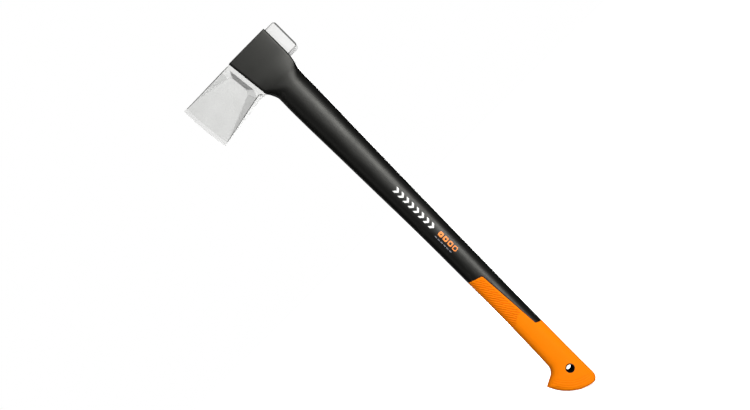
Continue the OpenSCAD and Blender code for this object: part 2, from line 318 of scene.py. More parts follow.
class Surface:
    """Half of the handle's outside, as a table over height p and place q.

    q is 0 at the front seam and 1 at the back seam.
    """

    def __init__(self):
        self.p = np.concatenate(
            [np.linspace(END_LOW, FAN_LOW, 61)[:-1], np.arange(FAN_LOW, HEAD_TOP - TOP_ROUND, 0.5)]
        )
        self.at = np.array([half_ring(p) for p in self.p])
        self.q = np.linspace(0, 1, self.at.shape[1])
        along = np.gradient(self.at, self.p, axis=0)
        across = np.gradient(self.at, self.q, axis=1)
        normal = np.cross(along, across)
        self.normal = normal / np.maximum(np.linalg.norm(normal, axis=-1, keepdims=True), 1e-9)
        self.normal[:, [0, -1], 1] = 0.0
        self.normal /= np.linalg.norm(self.normal, axis=-1, keepdims=True)
        middle = self.normal[len(self.p) // 2, len(self.q) // 2]
        if middle[1] > 0:
            self.normal *= -1

    def _read(self, table, p, q):
        i = np.clip(np.searchsorted(self.p, p, side="right") - 1, 0, len(self.p) - 2)
        j = np.clip((q * (len(self.q) - 1)).astype(int), 0, len(self.q) - 2)
        u = np.clip((p - self.p[i]) / (self.p[i + 1] - self.p[i]), 0, 1)[:, None]
        v = np.clip(q * (len(self.q) - 1) - j, 0, 1)[:, None]
        low = table[i, j] * (1 - v) + table[i, j + 1] * v
        high = table[i + 1, j] * (1 - v) + table[i + 1, j + 1] * v
        return low * (1 - u) + high * u

    def points(self, p, q, depth=0.0):
        """Points at (p, q), sunk by depth below the outside."""
        p, q = np.asarray(p, float), np.asarray(q, float)
        normal = self._read(self.normal, p, q)
        normal /= np.linalg.norm(normal, axis=-1, keepdims=True)
        return self._read(self.at, p, q) - normal * np.broadcast_to(depth, p.shape)[:, None]

    def find(self, x, z):
        """(p, q) of the point on this side of the handle that the side view shows at (x, z)."""
        rows = slice(int(np.searchsorted(self.p, FAN_LOW)), int(np.searchsorted(self.p, NECK)))
        front, back = self.at[rows, 0][:, [0, 2]], self.at[rows, -1][:, [0, 2]]
        way = back - front
        found = []
        for target in together(x, z):
            side = way[:, 0] * (target[1] - front[:, 1]) - way[:, 1] * (target[0] - front[:, 0])
            p = np.interp(0.0, -side, self.p[rows])
            ring = self._read(self.at, np.full(len(self.q), p), self.q)[:, [0, 2]]
            along = (ring - ring[0]) @ (ring[-1] - ring[0])
            q = np.interp((target - ring[0]) @ (ring[-1] - ring[0]), along, self.q)
            found.append((p, q))
        return np.array(found)


SURFACE = Surface()


# ---- meshes


def make_mesh(name, points, faces, sharp_deg=40):
    """Object from points in millimetres. Points that coincide are joined, and normals face out."""
    mesh = bpy.data.meshes.new(name)
    mesh.from_pydata((np.asarray(points) * MM).tolist(), [], faces)
    bm = bmesh.new()
    bm.from_mesh(mesh)
    bmesh.ops.delete(bm, geom=[v for v in bm.verts if not v.link_faces], context="VERTS")
    bmesh.ops.remove_doubles(bm, verts=bm.verts, dist=2e-6)
    bmesh.ops.dissolve_degenerate(bm, edges=bm.edges, dist=1e-6)
    bmesh.ops.recalc_face_normals(bm, faces=bm.faces)
    bm.to_mesh(mesh)
    bm.free()
    mesh.polygons.foreach_set("use_smooth", [True] * len(mesh.polygons))
    mesh.set_sharp_from_angle(angle=math.radians(sharp_deg))
    obj = bpy.data.objects.new(name, mesh)
    bpy.context.scene.collection.objects.link(obj)
    return obj


def mirrored(points, faces):
    """The same points and faces on both sides of the plane Y = 0."""
    points = np.asarray(points)
    count = len(points)
    other = [tuple(i + count for i in reversed(f)) for f in faces]
    return np.concatenate([points, points * [1, -1, 1]]), list(faces) + other


def grid_faces(rows, columns):
    """Faces of a grid of points that are numbered row by row."""
    corners = [r * columns + c for r in range(rows - 1) for c in range(columns - 1)]
    return [(i, i + 1, i + columns + 1, i + columns) for i in corners]


# ---- flat drawing of the lower handle

WIDTH = 62.0  # length round half of the handle, which makes q a distance in the flat drawing
JOIN = 223.0  # height at which the drawn part of the handle meets the plain rings above
EDGE_STEPS = (0.35, 0.8)  # extra lines of points beside the grip's edge
HOLE_STEPS = (0.4, 0.9)  # and round the hang hole


def rounded_path(corners, radius, step):
    """Points along a path whose corners are rounded."""
    points = [np.array(corners[0], float)]
    for before, here, after in zip(corners[:-2], corners[1:-1], corners[2:]):
        before, here, after = np.array(before), np.array(here), np.array(after)
        into = (before - here) / np.linalg.norm(before - here)
        out = (after - here) / np.linalg.norm(after - here)
        half_turn = math.acos(np.clip(into @ out, -1, 1)) / 2
        reach = radius / math.tan(half_turn)
        mid = here + (into + out) / np.linalg.norm(into + out) * radius / math.sin(half_turn)
        start, end = here + into * reach - mid, here + out * reach - mid
        turn = math.acos(np.clip(start @ end / radius**2, -1, 1))
        for t in np.linspace(0, 1, max(4, int(radius * turn / step) + 1)):
            arm = start * math.sin((1 - t) * turn) + end * math.sin(t * turn)
            points.append(mid + arm / math.sin(turn))
    points.append(np.array(corners[-1], float))
    path = [points[0]]
    for a, b in zip(points[:-1], points[1:]):
        count = max(1, int(round(np.linalg.norm(b - a) / step)))
        path += [blend(a, b, k / count) for k in range(1, count + 1)]
    return np.array(path)


def grip_edge(step=0.8):
    """The grip's edge in the drawing (p, q * WIDTH), from the front seam to the back seam."""
    front_x = SURFACE.points([GRIP_TOP], [0.0])[0][0]
    back_x = SURFACE.points([GRIP_CLOSE], [1.0])[0][0]
    corners = [
        (front_x + 5, GRIP_TOP - 1.9),
        (4.4, GRIP_TOP - 7.7),
        (12.2, GRIP_CLOSE + 5),
        (back_x - 3, GRIP_CLOSE + 1.3),
    ]
    side = rounded_path(corners, 3.5, step)
    drawn = SURFACE.find(side[:, 0], side[:, 1]) * [1, WIDTH]
    (first_p, first_t), (last_p, last_t) = drawn[0], drawn[-1]
    start = [(blend(GRIP_TOP, first_p, (t / first_t) ** 2), t) for t in np.arange(0, first_t - 0.4, step)]
    rest = np.arange(last_t + step, WIDTH - 0.3, step)
    fade = (WIDTH - rest) / (WIDTH - last_t)
    end = [(blend(GRIP_CLOSE, last_p, f**2), t) for f, t in zip(fade, rest)]
    return np.array(start + drawn.tolist() + end + [(GRIP_CLOSE, WIDTH)])


def hole_ring(r):
    """A circle round the hang hole, in the drawing."""
    turn = np.linspace(0, 2 * math.pi, HOLE_POINTS, endpoint=False)
    return SURFACE.find(r * np.cos(turn), r * np.sin(turn)) * [1, WIDTH]


def on_handle(drawn, depth=0.0):
    """Points of the drawing, put on the handle and sunk by depth below its outside."""
    return SURFACE.points(drawn[:, 0], drawn[:, 1] / WIDTH, depth)


def distance_to_path(points, path):
    """Distance of each point of the drawing from a path."""
    best = np.full(len(points), 1e9)
    for start, end in zip(path[:-1], path[1:]):
        way = end - start
        t = np.clip(((points - start) @ way) / (way @ way), 0, 1)[:, None]
        best = np.minimum(best, np.linalg.norm(points - start - t * way, axis=1))
    return best


def inside(points, outline):
    """Whether each point of the drawing lies inside a closed outline."""
    result = np.zeros(len(points), bool)
    for a, b in zip(outline, np.roll(outline, -1, axis=0)):
        if a[1] == b[1]:
            continue
        cross = (a[1] > points[:, 1]) != (b[1] > points[:, 1])
        result ^= cross & (points[:, 0] < a[0] + (points[:, 1] - a[1]) / (b[1] - a[1]) * (b[0] - a[0]))
    return result


def offset_path(path, away):
    """The path moved sideways by a distance."""
    way = np.gradient(path, axis=0)
    way /= np.linalg.norm(way, axis=1, keepdims=True)
    return path + away * together(way[:, 1], -way[:, 0])


EDGE = grip_edge()
BELOW = np.array([(END_LOW - 9, WIDTH + 9), (END_LOW - 9, -9), (GRIP_TOP, -9)])
GRIP_OUTLINE = np.concatenate([EDGE, [(GRIP_CLOSE, WIDTH + 9)], BELOW])
HOLE_RING = hole_ring(BOSS_R)
HOLE_CLOSED = looped(HOLE_RING)


def lattice(p_low, p_high, t_low, t_high, step):
    """Points of an even triangular pattern."""
    rows = np.arange(p_low, p_high, step * math.sqrt(0.75))
    shift = (np.arange(len(rows)) % 2 * 0.5)[:, None] * step
    columns = np.arange(t_low, t_high, step)[None, :] + shift
    return together(rows[:, None], columns).reshape(-1, 2)


def ribbed(drawn):
    """Whether there are ribs at each point of the drawing, which needs closer points there."""
    return (rib_area(drawn) > 0) | (butt_rib_area(on_handle(drawn)) > 0)


def rib_area(drawn):
    """1 in the long ribbed field of the grip, 0 outside it, with a soft border."""
    p, t = drawn[:, 0], drawn[:, 1]
    away = distance_to_path(drawn, EDGE)
    low = GRIP_CLOSE + 20.0 + 12.0 * smooth((t - 8) / 26)
    field = smooth((away - 2.6) / 1.6) * smooth((p - low) / 5.0) * inside(drawn, GRIP_OUTLINE)
    return field * smooth((t + 3) / 3)


def gap_to_end(points):
    """Distance of each point from the arc of the end face, in the side view."""
    return END_R - np.hypot(points[:, 0] - END_MID[0], points[:, 2] - END_MID[1])


def butt_rib_area(points):
    """1 in the ribbed field of the butt, 0 outside it."""
    x, z, end_gap = points[:, 0], points[:, 2], gap_to_end(points)
    band = smooth((end_gap - 2.2) / 1.5) * smooth((19.5 - end_gap) / 2.5)
    reach = smooth((x + 42) / 6) * smooth((17 - x) / 4)
    clear = smooth((np.hypot(x, z) - BOSS_R - 4) / 2) * smooth((7 - z) / 6)
    return band * reach * clear * smooth((-points[:, 1] - 5) / 4)


RIB_PITCH, RIB_HEIGHT = 4.0, 0.8
BUTT_RIBS = 0.45  # height of the butt's ribs as a share of the others
SEAM_SLOPE, RIB_SLOPE = 0.35, math.tan(math.radians(50))  # of the ribs at the front seam and behind it
EDGE_DEPTH, HOLE_DEPTH = 0.45, 0.35  # of the rounding beside the grip's edge and round the hole


def groove(run, pitch):
    """0 on the ridges and 1 in the grooves of ribs with a pitch, run across them."""
    return (0.5 - 0.5 * np.cos(2 * math.pi * run / pitch)) ** 1.4


def rib_relief(drawn, points):
    """Depth of the grip's ribs below the outside."""
    p, t = drawn[:, 0], drawn[:, 1]
    run = SEAM_SLOPE * t + (RIB_SLOPE - SEAM_SLOPE) * np.where(t > 9, t - 5.5, t**2 / 20)
    run = p + run + 2.0 * smooth((t - 24) / 1.5)
    long_ribs = rib_area(drawn) * groove(run, RIB_PITCH * math.hypot(1, RIB_SLOPE))
    butt_ribs = BUTT_RIBS * butt_rib_area(points) * groove(gap_to_end(points), RIB_PITCH)
    return RIB_HEIGHT * np.maximum(long_ribs, butt_ribs)


def edge_relief(drawn):
    """Depth of the rounding beside the grip's edge and round the hang hole."""
    near = np.clip(1 - distance_to_path(drawn, EDGE) / 0.9, 0, 1)
    hole = np.clip(1 - distance_to_path(drawn, HOLE_CLOSED) / 1.0, 0, 1)
    return EDGE_DEPTH * near**2 + HOLE_DEPTH * hole**2


def draw(step, fine_step):
    """Points and triangles of the lower handle in the drawing, with the grip's edge and the hole in it."""
    points, links = [], []

    def add(path, closed=False):
        start = len(points)
        points.extend(tuple(p) for p in path)
        numbers = list(range(start, start + len(path)))
        links.extend(zip(numbers, numbers[1:] + numbers[:1] if closed else numbers[1:]))

    end_rows = END_LOW + (FAN_LOW - END_LOW) * np.linspace(0, 1, 15)
    rows = np.concatenate([end_rows, np.arange(FAN_LOW + 1.2, JOIN - 0.6, 1.2)])
    for t, edge_p in ((0.0, EDGE[0, 0]), (WIDTH, EDGE[-1, 0])):
        seam = np.sort(np.concatenate([rows[np.abs(rows - edge_p) > 0.5], [edge_p, JOIN]]))
        add([(p, t) for p in seam])
    for p in (END_LOW, JOIN):
        add([(p, t) for t in np.linspace(0, WIDTH, COLUMNS + 1)[1:-1]])
    add(EDGE[1:-1])
    add(HOLE_RING, closed=True)
    extra = [offset_path(EDGE, side * away) for away in EDGE_STEPS for side in (-1, 1)]
    extra += [hole_ring(BOSS_R + away) for away in HOLE_STEPS]
    extra = np.concatenate(extra)
    loose = lattice(END_LOW + 0.5, JOIN - 0.8, 0.7, WIDTH - 0.5, step)
    if fine_step:
        close = lattice(END_LOW + 0.5, GRIP_TOP, 0.5, WIDTH - 0.4, fine_step)
        loose = np.concatenate([loose[~ribbed(loose)], close[ribbed(close)]])
    loose = loose[distance_to_path(loose, EDGE) > EDGE_STEPS[-1] + 0.25]
    loose = loose[distance_to_path(loose, HOLE_CLOSED) > HOLE_STEPS[-1] + 0.3]
    loose = loose[~inside(loose, HOLE_RING)]
    loose = np.concatenate([extra, loose])
    loose = loose[(loose[:, 1] > 0.3) & (loose[:, 1] < WIDTH - 0.3)]
    flat = [Vector(p) for p in points] + [Vector(p) for p in loose]
    got = delaunay_2d_cdt(flat, [tuple(link) for link in links], [], 0, 1e-5)
    drawn = np.array([tuple(v) for v in got[0]])
    triangles = np.array([tuple(f) for f in got[2]])
    middle = drawn[triangles].mean(axis=1)
    in_hole = inside(middle, HOLE_RING)
    in_grip = inside(middle, GRIP_OUTLINE) & ~in_hole
    return drawn, triangles[in_grip], triangles[~in_grip & ~in_hole]


def strip(path, depths, closed=False):
    """Points and faces of a wall that goes down from a path in the drawing through the given depths."""
    path = looped(path) if closed else path
    layers = [on_handle(path, depth) for depth in depths]
    return np.concatenate(layers), grid_faces(len(depths), len(path))


def ring_at(p, depth=0.0):
    """Half ring of points at surface height p, one for each column, sunk by depth."""
    q = np.linspace(0, 1, COLUMNS + 1)
    return SURFACE.points(np.full(len(q), p), q, depth)


def end_cap(depth):
    """Half of the small flat face at the very end, at a depth below the outside."""
    return ring_at(END_LOW, depth), [tuple(range(COLUMNS + 1))]


def hole_circle(r, y):
    """A circle round the hang hole, at a distance y from the middle of the handle."""
    turn = np.linspace(0, 2 * math.pi, HOLE_POINTS + 1)
    return together(r * np.cos(turn), y, r * np.sin(turn))


def joined(parts):
    """One list of points and faces out of several."""
    points, faces, start = [], [], 0
    for part_points, part_faces in parts:
        points.append(part_points)
        faces += [tuple(int(i) + start for i in face) for face in part_faces]
        start += len(part_points)
    return np.concatenate(points), faces


# ---- handle and grip


def top_rings():
    """Half of the handle above the drawn part, with its rounded top edge and its top face."""
    shaft = np.arange(JOIN, NECK - 4, 2.4)
    head = np.arange(shaft[-1] + 1.2, HEAD_TOP - TOP_ROUND - 0.6, 1.2)
    rows = np.concatenate([shaft, head, [HEAD_TOP - TOP_ROUND - 0.5]])
    rings = [ring_at(p) for p in rows]
    for turn in np.radians([0, 22.5, 45, 67.5, 90]):
        inset, rise = TOP_ROUND * (1 - math.cos(turn)), TOP_ROUND * (math.sin(turn) - 1)
        rings.append(half_ring(HEAD_TOP, inset, rise)[::FINE])
    points = np.concatenate(rings)
    top = tuple(range(len(points) - COLUMNS - 1, len(points)))
    return points, grid_faces(len(rings), COLUMNS + 1) + [top]


def boss():
    """Half of the ring round the hang hole, with a countersink and the bore."""
    rim = strip(HOLE_RING, (GRIP_T, 1.2, 0.25, 0.0), closed=True)
    face = looped(on_handle(hole_ring(BOSS_R - 0.3)))
    outer = on_handle(HOLE_CLOSED)
    level = face[:, 1].mean()
    loops = [outer, face, hole_circle(HOLE_R + 0.9, level), hole_circle(HOLE_R + 0.25, level + 0.35)]
    loops += [hole_circle(HOLE_R, level + 1.0), hole_circle(HOLE_R, level / 2), hole_circle(HOLE_R, 0.0)]
    return joined([rim, (np.concatenate(loops), grid_faces(len(loops), len(outer)))])


def build_handle(outer, inner):
    """Handle from the two results of draw(), with the hang hole's ring and the skin under the grip."""
    drawn, _, black = outer
    core_drawn, core, _ = inner
    lower = on_handle(drawn, edge_relief(drawn)), black
    under = on_handle(core_drawn, GRIP_T), core
    wall = strip(EDGE, (EDGE_DEPTH, 1.4, GRIP_T))
    half = joined([lower, under, wall, end_cap(GRIP_T), boss(), top_rings()])
    return make_mesh("handle_body", *mirrored(*half))


def build_grip(outer, inner):
    """Ribbed grip, GRIP_T thick, from the two results of draw()."""
    drawn, skin, _ = outer
    inner_drawn, lining, _ = inner
    depth = edge_relief(drawn) + rib_relief(drawn, on_handle(drawn))
    outside = on_handle(drawn, depth), skin
    inside_skin = on_handle(inner_drawn, GRIP_T), lining
    wall = strip(EDGE, (EDGE_DEPTH, 1.4, GRIP_T))
    hole = strip(HOLE_RING, (HOLE_DEPTH, 1.4, GRIP_T), closed=True)
    half = joined([outside, inside_skin, wall, hole, end_cap(0.0), end_cap(GRIP_T)])
    return make_mesh("soft_grip", *mirrored(*half))


# ---- steel head

EDGE_HALF, BEVEL_HALF, CHEEK_HALF, BAND_HALF = 0.3, 1.9, 12.0, 24.0
BEVEL_W, BAND_W, RAMP_W = 6.5, 6.9, 6.7
RIM_S = BLADE_LEN - BAND_W
FLOOR_S = RIM_S - RAMP_W
EDGE_BOW, EDGE_MID, EDGE_R = 3.5, 36.0, 424.0  # how far the edge's arc bows out, where, and its radius
BEVEL_FADE = 20.0  # behind here the grid of the cheek no longer follows the arc
TOP_DROP, FOOT_START, FOOT_RISE, FOOT_END = 13.3, -0.4, 4.9, 1.9
FOOT_KNEES = RIM_S - 1.0, RIM_S + 2.6  # where the bottom edge turns down, and where it levels out
APEX_FOOT, APEX_TOP = 8.0, 13.0  # where the hollow's side walls start on the outline
SHOULDER_S = 88.0  # where the outline reaches the band's thickness
RIM_LOW, RIM_HIGH = 16.0, 65.2  # ends of the hollow's end wall along the band
# Ends of the hollow's flat floor towards the handle as (s, t), from the bottom to the top
FLOOR_END = (FLOOR_S - 4.4, 21.2), (FLOOR_S, 27.8), (FLOOR_S, 56.5), (FLOOR_S - 6.2, 62.8)
BAND_TAPER = 0.4  # how much thinner each side of the band is at its front
FILLET, BAND_FILLET = 0.5, 0.6  # reach of the rounding between the faces of the cheek
RIM_ROUND = 1.2  # radius along the outline
WEB_HALF = 9.5  # half thickness of the part that the handle hides


def blade_top(s):
    """Place of the blade's top edge, s towards the handle."""
    return EDGE_LEN - TOP_DROP * s / BLADE_LEN


def blade_foot(s):
    """Place of the blade's bottom edge."""
    return np.interp(s, (0.0, *FOOT_KNEES), (FOOT_START, FOOT_RISE, FOOT_END))


def edge_s(t):
    """Place of the cutting edge, t along it."""
    return (t - EDGE_MID) ** 2 / (2 * EDGE_R) - EDGE_BOW


def floor_y(s):
    """Half thickness of the blade at the hollow's flat floor."""
    return blend(BEVEL_HALF, CHEEK_HALF, (s - BEVEL_W) / (FLOOR_S - BEVEL_W))


def band_y(s):
    """Half thickness of the band beside the handle."""
    return BAND_HALF - BAND_TAPER * (BLADE_LEN - s) / BAND_W


def plane_through(*corners):
    """Height over (s, t) of the plane through three points (s, t, y)."""
    a, b, c = (np.array(p, float) for p in corners)
    n = np.cross(b - a, c - a)
    return lambda s, t: a[2] - (n[0] * (s - a[0]) + n[1] * (t - a[1])) / n[2]


def on_floor(s, t):
    return s, t, floor_y(s)


def hollow_planes():
    """Side walls of the hollow in the cheek, and the slanted corners at the ends of its end wall."""
    top, foot = float(blade_top(SHOULDER_S)), float(blade_foot(SHOULDER_S))
    shoulder_y, rim_y, middle_s = band_y(SHOULDER_S), band_y(RIM_S), (SHOULDER_S + RIM_S) / 2
    low, low_mid, high_mid, high = (on_floor(*point) for point in FLOOR_END)
    middle_y = (shoulder_y + rim_y) / 2
    walls = [
        plane_through(on_floor(APEX_TOP, blade_top(APEX_TOP)), high, (SHOULDER_S, top, shoulder_y)),
        plane_through(on_floor(APEX_FOOT, blade_foot(APEX_FOOT)), low, (SHOULDER_S, foot, shoulder_y)),
    ]
    corners = [
        plane_through(high, high_mid, (middle_s, (RIM_HIGH + top) / 2, middle_y)),
        plane_through(low, low_mid, (middle_s, (RIM_LOW + foot) / 2, middle_y)),
    ]
    return walls, corners


WALLS, CORNERS = hollow_planes()


def plane_normal(plane):
    """Outward direction (x, y, z) of a plane of the hollow, on the side of +Y."""
    rise_s, rise_t = plane(1.0, 0.0) - plane(0.0, 0.0), plane(0.0, 1.0) - plane(0.0, 0.0)
    flat = -rise_s * ALONG_S - rise_t * ALONG_T
    return np.array([flat[0], 1.0, flat[1]]) / math.sqrt(1 + flat @ flat)


def cheek_y(s, t):
    """Half thickness of the blade."""
    ramp = CHEEK_HALF + (s - FLOOR_S) * (band_y(RIM_S) - CHEEK_HALF) / RAMP_W
    body = smooth_max(floor_y(s), ramp, FILLET)
    for wall in WALLS + CORNERS:
        body = smooth_max(body, wall(s, t), FILLET)
    body = -smooth_max(-body, -band_y(s), BAND_FILLET)
    behind = s - edge_s(t)
    ground = EDGE_HALF + (floor_y(edge_s(t) + BEVEL_W) - EDGE_HALF) * behind / BEVEL_W
    y = np.where(behind < BEVEL_W, ground, body)
    gap = np.minimum(t - blade_foot(s), blade_top(s) - t)
    r = np.minimum(RIM_ROUND, 0.45 * y)
    cut = np.clip(1 - gap / r, 0, 1)
    return y - r * (1 - np.sqrt(1 - np.minimum(cut, 0.96) ** 2))


def build_blade():
    """Half of the blade, from a grid of points that is closer at the edge and at the band."""
    bevel = np.linspace(2.0, BEVEL_W - 0.01, 4)
    hollow = np.arange(BEVEL_W + 1.2, FLOOR_S - 9, 1.3)
    end_wall = np.arange(FLOOR_S - 8.5, RIM_S + 0.9, 0.5)
    band = np.linspace(RIM_S + 1.2, BLADE_LEN, 6)
    s = np.concatenate([[0, 0.8], bevel, [BEVEL_W], hollow, end_wall, band])
    rim = np.array([0, 0.05, 0.15, 0.35, 0.6, 0.9, 1.3])  # steps in from the outline
    fade = np.clip((BEVEL_FADE - s) / (BEVEL_FADE - BEVEL_W), 0, 1)
    low = blade_foot(s + edge_s(0.0) * fade)[:, None]
    high = blade_top(s + edge_s(EDGE_LEN) * fade)[:, None]
    share = np.linspace(0, 1, 141)[None, :]
    middle = low + rim[-1] + (high - low - 2 * rim[-1]) * share
    t = np.concatenate([low + rim[:-1], middle, high - rim[-2::-1]], axis=1)
    grid_s = s[:, None] + edge_s(t) * fade[:, None]
    y = cheek_y(grid_s, t)
    cheek = place(grid_s, t, -y)
    rows, columns = t.shape
    parts = [(cheek.reshape(-1, 3), grid_faces(rows, columns))]
    for edge in (cheek[:, 0], cheek[:, -1], cheek[0], cheek[-1]):
        layers = [edge * [1, k, 1] for k in (1, 0.66, 0.33, 0)]
        parts.append((np.concatenate(layers), grid_faces(4, len(edge))))
    return joined(parts)


def rounded_box_outline(low, high, r):
    """Side outline of a block from low to high (x, z) with rounded corners, closed."""
    turn = np.radians(np.linspace(0, 90, 7) + 90 * np.arange(4)[:, None])
    x = np.array([high[0] - r, low[0] + r, low[0] + r, high[0] - r])[:, None] + r * np.cos(turn)
    z = np.array([high[1] - r, high[1] - r, low[1] + r, low[1] + r])[:, None] + r * np.sin(turn)
    return looped(together(x.ravel(), z.ravel()))


def block(low, high, half, r, bevel):
    """Half of a block with a rounded side outline and rounded edges towards its flat side."""
    loops = [(0.0, 0.0), (0.0, half * 0.5)]
    for turn in np.radians(np.linspace(0, 90, 6)):
        loops.append((bevel * (1 - math.cos(turn)), half - bevel + bevel * math.sin(turn)))
    points = []
    for inset, y in loops:
        outline = rounded_box_outline(np.array(low) + inset, np.array(high) - inset, max(r - inset, 0.4))
        points.append(together(outline[:, 0], -y, outline[:, 1]))
    count = len(points[0])
    face = tuple(range((len(points) - 1) * count, len(points) * count - 1))
    return np.concatenate(points), grid_faces(len(points), count) + [face]


def build_head():
    """Blade, poll and the web between them inside the handle."""
    poll_low = (WRAP_BACK - 8, HEAD_TOP - POLL_DROP - POLL_H)
    poll_high = (WRAP_BACK + POLL_LEN, HEAD_TOP - POLL_DROP)
    poll = block(poll_low, poll_high, POLL_HALF, POLL_R, POLL_BEVEL)
    web = block((WRAP_BACK - 86, HEAD_TOP - 60), (WRAP_BACK - 4, HEAD_TOP - 10), WEB_HALF, 4.0, 0.5)
    return make_mesh("steel_head", *mirrored(*joined([build_blade(), poll, web])), sharp_deg=32)


def level_loops(profile, count):
    """Points of level circles round Z, one for each radius and height of a profile."""
    turn = np.linspace(0, 2 * math.pi, count)
    return np.concatenate([together(r * np.cos(turn), r * np.sin(turn), z) for r, z in profile])


def build_plug():
    """Small domed plug in the end of the butt."""
    r, mid_x = 4.5, 12.5
    end_z = END_MID[1] - math.sqrt((END_R - CORNER_R) ** 2 - (END_MID[0] - mid_x) ** 2) - CORNER_R
    profile = [(0, -0.5), (1.6, -0.45), (3.2, -0.3), (3.9, -0.05), (r - 0.1, 0.5), (r, 1.5), (r, 8), (0, 8)]
    loops = level_loops([(a, end_z + h) for a, h in profile], 41) + [mid_x, 0, 0]
    return make_mesh("end_plug", loops, grid_faces(len(profile), 41))


# ---- printed marks


def ribbon(left, right, closed=False):
    """Thin closed layer on the handle's side between two lines of points given as (x, z)."""
    left, right = np.array(left, float), np.array(right, float)
    if closed:
        left, right = looped(left), looped(right)
    across = 4
    side = np.stack([blend(left, right, k / across) for k in range(across + 1)], axis=1)
    shape = side.shape[:2]
    flat = SURFACE.find(side[..., 0].ravel(), side[..., 1].ravel())
    top = SURFACE.points(flat[:, 0], flat[:, 1], -0.07).reshape(*shape, 3)
    low = SURFACE.points(flat[:, 0], flat[:, 1], 0.1).reshape(*shape, 3)
    parts = [(top.reshape(-1, 3), grid_faces(*shape)), (low.reshape(-1, 3), grid_faces(*shape))]
    rims = [(top[:, 0], low[:, 0]), (top[:, -1], low[:, -1])]
    if not closed:
        rims += [(top[0], low[0]), (top[-1], low[-1])]
    for a, b in rims:
        parts.append((np.concatenate([a, b]), grid_faces(2, len(a))))
    return joined(parts)


def chevron(x, z, width, rise, thick):
    """Upward chevron, x and z at its tip."""
    reach = np.linspace(-1, 1, 9)
    line = together(x + reach * width / 2, z - rise * (1 - np.abs(reach)))
    return ribbon(line, line - [0, thick])


def tile(x, z, size, hole):
    """Rounded square with a round hole."""
    turn = np.linspace(0, 2 * math.pi, 24, endpoint=False)
    c, s = np.cos(turn), np.sin(turn)
    outer = together(np.sign(c) * np.abs(c) ** 0.5, np.sign(s) * np.abs(s) ** 0.5) * size / 2
    return ribbon(outer + [x, z], together(c, s) * hole + [x, z], closed=True)


def dash(x, z, width, length):
    line = [(x - width / 2, z - length * t) for t in (0, 0.5, 1)]
    return ribbon(line, np.array(line) + [width, 0])


def build_marks():
    """Plain geometric print on both sides of the handle: white chevrons, an orange row and a grey line."""
    mid, top = 4.6, 401.0  # middle of the print, and its highest point
    white = [chevron(mid, top - 11.4 * k, 10, 4.5, 4.6) for k in range(8)]
    orange = [tile(mid + 0.7, top - 104 - 10.6 * k, 8.4, 1.3 + 0.5 * k) for k in range(4)]
    grey = [dash(mid - 8.0, top - 99 - 6.5 * k, 1.4, 4.6) for k in range(6)]
    return [
        make_mesh(name, *mirrored(*joined(parts)))
        for name, parts in (("mark_white", white), ("mark_orange", orange), ("mark_grey", grey))
    ]


# ---- materials


class Nodes:
    """A node tree under construction: short calls that add a node and give back its output."""

    def __init__(self, tree):
        self.tree = tree

    def add(self, kind, inputs=None, output=0, **settings):
        made = self.tree.nodes.new(kind)
        for key, value in settings.items():
            setattr(made, key, value)
        for key, value in (inputs or {}).items():
            self.plug(made.inputs[key], value)
        return made if output is None else made.outputs[output]

    def plug(self, socket, value):
        """Connect or set a socket. A colour is three numbers."""
        if isinstance(value, bpy.types.NodeSocket):
            self.tree.links.new(value, socket)
        else:
            socket.default_value = (*value, 1) if socket.type == "RGBA" else value

    def math(self, operation, first, *others):
        for other in others:
            first = self.add("ShaderNodeMath", {0: first, 1: other}, operation=operation)
        return first

    def times(self, *values):
        return self.math("MULTIPLY", *values)

    def plus(self, *values):
        return self.math("ADD", *values)

    def larger(self, *values):
        return self.math("MAXIMUM", *values)

    def vector(self, operation, a, b=(0, 0, 0), output="Vector"):
        return self.add("ShaderNodeVectorMath", {0: a, 1: b}, output, operation=operation)

    def axis(self, index, vector):
        return self.add("ShaderNodeSeparateXYZ", {0: vector}, output=index)

    def spread(self, value, low, high, to_low=0.0, to_high=1.0):
        """to_low to to_high as the value goes from low to high, level outside that."""
        inputs = {"Value": value, "From Min": low, "From Max": high, "To Min": to_low, "To Max": to_high}
        return self.add("ShaderNodeMapRange", inputs)

    def vary(self, noise, low, high):
        """low to high over the usual range of a noise."""
        return self.spread(noise, 0.3, 0.7, low, high)

    def mix(self, share, a, b):
        return self.add("ShaderNodeMix", {0: share, 6: a, 7: b}, output=2, data_type="RGBA")


